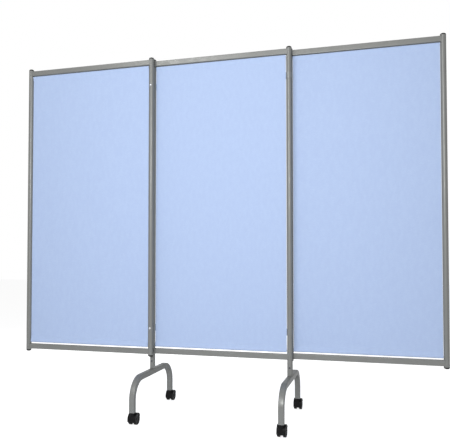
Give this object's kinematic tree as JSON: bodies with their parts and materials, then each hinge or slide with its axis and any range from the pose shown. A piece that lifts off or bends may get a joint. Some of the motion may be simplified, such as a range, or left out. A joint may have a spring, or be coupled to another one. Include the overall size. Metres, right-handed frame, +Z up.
{
  "type": "privacy screen",
  "caption": "Folding ward privacy screen: tubular metal panels with stretched blue curtains, side panels swinging on clips round leg posts, arched feet with twin wheel swivel casters.",
  "frame": {"origin": "on the floor, under the middle of the opened screen's width and of its overall depth", "axes": "+X along the opened screen towards its right side panel, +Y to the rear, +Z up"},
  "size_m": [2.0534, 0.5364, 1.7414],
  "materials": {
    "frame": "warm grey powder coat, satin",
    "clip": "grey coated strip, satin",
    "steel": "zinc plated",
    "spring": "blued spring steel",
    "cap": "dark grey moulded plastic",
    "fabric": "light blue fine woven cloth",
    "caster": "black moulded nylon",
    "wheel": "black moulded nylon, smooth tread"
  },
  "bodies": {
    "base": {"left_leg_post": "frame", "right_leg_post": "frame", "left_leg_cap": "cap", "right_leg_cap": "cap", "center_top_rail": "frame", "center_bottom_rail": "frame", "center_top_rod": "steel", "center_bottom_rod": "steel", "center_curtain": "fabric", "left_foot_arch": "frame", "right_foot_arch": "frame", "left_front_caster_stem": "caster", "left_rear_caster_stem": "caster", "right_front_caster_stem": "caster", "right_rear_caster_stem": "caster"},
    "left_panel": {"left_top_rail": "frame", "left_bottom_rail": "frame", "left_top_rod": "steel", "left_bottom_rod": "steel", "left_curtain": "fabric", "left_inner_stile": "frame", "left_inner_top_cap": "cap", "left_inner_bottom_plug": "cap", "left_outer_stile": "frame", "left_outer_top_cap": "cap", "left_outer_bottom_plug": "cap", "left_upper_hinge_clip": "clip", "left_lower_hinge_clip": "clip"},
    "right_panel": {"right_top_rail": "frame", "right_bottom_rail": "frame", "right_top_rod": "steel", "right_bottom_rod": "steel", "right_curtain": "fabric", "right_inner_stile": "frame", "right_inner_top_cap": "cap", "right_inner_bottom_plug": "cap", "right_outer_stile": "frame", "right_outer_top_cap": "cap", "right_outer_bottom_plug": "cap", "right_upper_hinge_clip": "clip", "right_lower_hinge_clip": "clip"},
    "left_button": {"left_snap_button": "spring"},
    "right_button": {"right_snap_button": "spring"},
    "left_front_caster": {"left_front_caster_housing": "caster", "left_front_caster_axle": "steel"},
    "left_rear_caster": {"left_rear_caster_housing": "caster", "left_rear_caster_axle": "steel"},
    "right_front_caster": {"right_front_caster_housing": "caster", "right_front_caster_axle": "steel"},
    "right_rear_caster": {"right_rear_caster_housing": "caster", "right_rear_caster_axle": "steel"},
    "left_front_right_wheel": {"left_front_right_wheel": "wheel"},
    "left_front_left_wheel": {"left_front_left_wheel": "wheel"},
    "left_rear_right_wheel": {"left_rear_right_wheel": "wheel"},
    "left_rear_left_wheel": {"left_rear_left_wheel": "wheel"},
    "right_front_right_wheel": {"right_front_right_wheel": "wheel"},
    "right_front_left_wheel": {"right_front_left_wheel": "wheel"},
    "right_rear_right_wheel": {"right_rear_right_wheel": "wheel"},
    "right_rear_left_wheel": {"right_rear_left_wheel": "wheel"}
  },
  "joints": [
    {"name": "left_panel_fold", "type": "hinge", "parent": "base", "child": "left_panel", "pos_m": [-0.338, -0.01614, 1], "axis": [0, 0, 1], "range_deg": [-177, 25]},
    {"name": "right_panel_fold", "type": "hinge", "parent": "base", "child": "right_panel", "pos_m": [0.338, -0.01614, 1], "axis": [0, 0, 1], "range_deg": [-177, 25]},
    {"name": "left_button_press", "type": "slide", "parent": "base", "child": "left_button", "axis": [0, 1, 0], "range_m": [0, 0.0043], "stiffness_N_per_m": 400},
    {"name": "right_button_press", "type": "slide", "parent": "base", "child": "right_button", "axis": [0, 1, 0], "range_m": [0, 0.0043], "stiffness_N_per_m": 400},
    {"name": "left_front_swivel", "type": "hinge", "parent": "base", "child": "left_front_caster", "pos_m": [-0.338, -0.25614, 0.045], "axis": [0, 0, 1], "continuous": true},
    {"name": "left_rear_swivel", "type": "hinge", "parent": "base", "child": "left_rear_caster", "pos_m": [-0.338, 0.22386, 0.045], "axis": [0, 0, 1], "continuous": true},
    {"name": "right_front_swivel", "type": "hinge", "parent": "base", "child": "right_front_caster", "pos_m": [0.338, -0.25614, 0.045], "axis": [0, 0, 1], "continuous": true},
    {"name": "right_rear_swivel", "type": "hinge", "parent": "base", "child": "right_rear_caster", "pos_m": [0.338, 0.22386, 0.045], "axis": [0, 0, 1], "continuous": true},
    {"name": "left_front_right_wheel_spin", "type": "hinge", "parent": "left_front_caster", "child": "left_front_right_wheel", "pos_m": [-0.338, -0.23914, 0.025], "axis": [1, 0, 0], "continuous": true},
    {"name": "left_front_left_wheel_spin", "type": "hinge", "parent": "left_front_caster", "child": "left_front_left_wheel", "pos_m": [-0.338, -0.23914, 0.025], "axis": [1, 0, 0], "continuous": true},
    {"name": "left_rear_right_wheel_spin", "type": "hinge", "parent": "left_rear_caster", "child": "left_rear_right_wheel", "pos_m": [-0.338, 0.24086, 0.025], "axis": [1, 0, 0], "continuous": true},
    {"name": "left_rear_left_wheel_spin", "type": "hinge", "parent": "left_rear_caster", "child": "left_rear_left_wheel", "pos_m": [-0.338, 0.24086, 0.025], "axis": [1, 0, 0], "continuous": true},
    {"name": "right_front_right_wheel_spin", "type": "hinge", "parent": "right_front_caster", "child": "right_front_right_wheel", "pos_m": [0.338, -0.23914, 0.025], "axis": [1, 0, 0], "continuous": true},
    {"name": "right_front_left_wheel_spin", "type": "hinge", "parent": "right_front_caster", "child": "right_front_left_wheel", "pos_m": [0.338, -0.23914, 0.025], "axis": [1, 0, 0], "continuous": true},
    {"name": "right_rear_right_wheel_spin", "type": "hinge", "parent": "right_rear_caster", "child": "right_rear_right_wheel", "pos_m": [0.338, 0.24086, 0.025], "axis": [1, 0, 0], "continuous": true},
    {"name": "right_rear_left_wheel_spin", "type": "hinge", "parent": "right_rear_caster", "child": "right_rear_left_wheel", "pos_m": [0.338, 0.24086, 0.025], "axis": [1, 0, 0], "continuous": true}
  ]
}
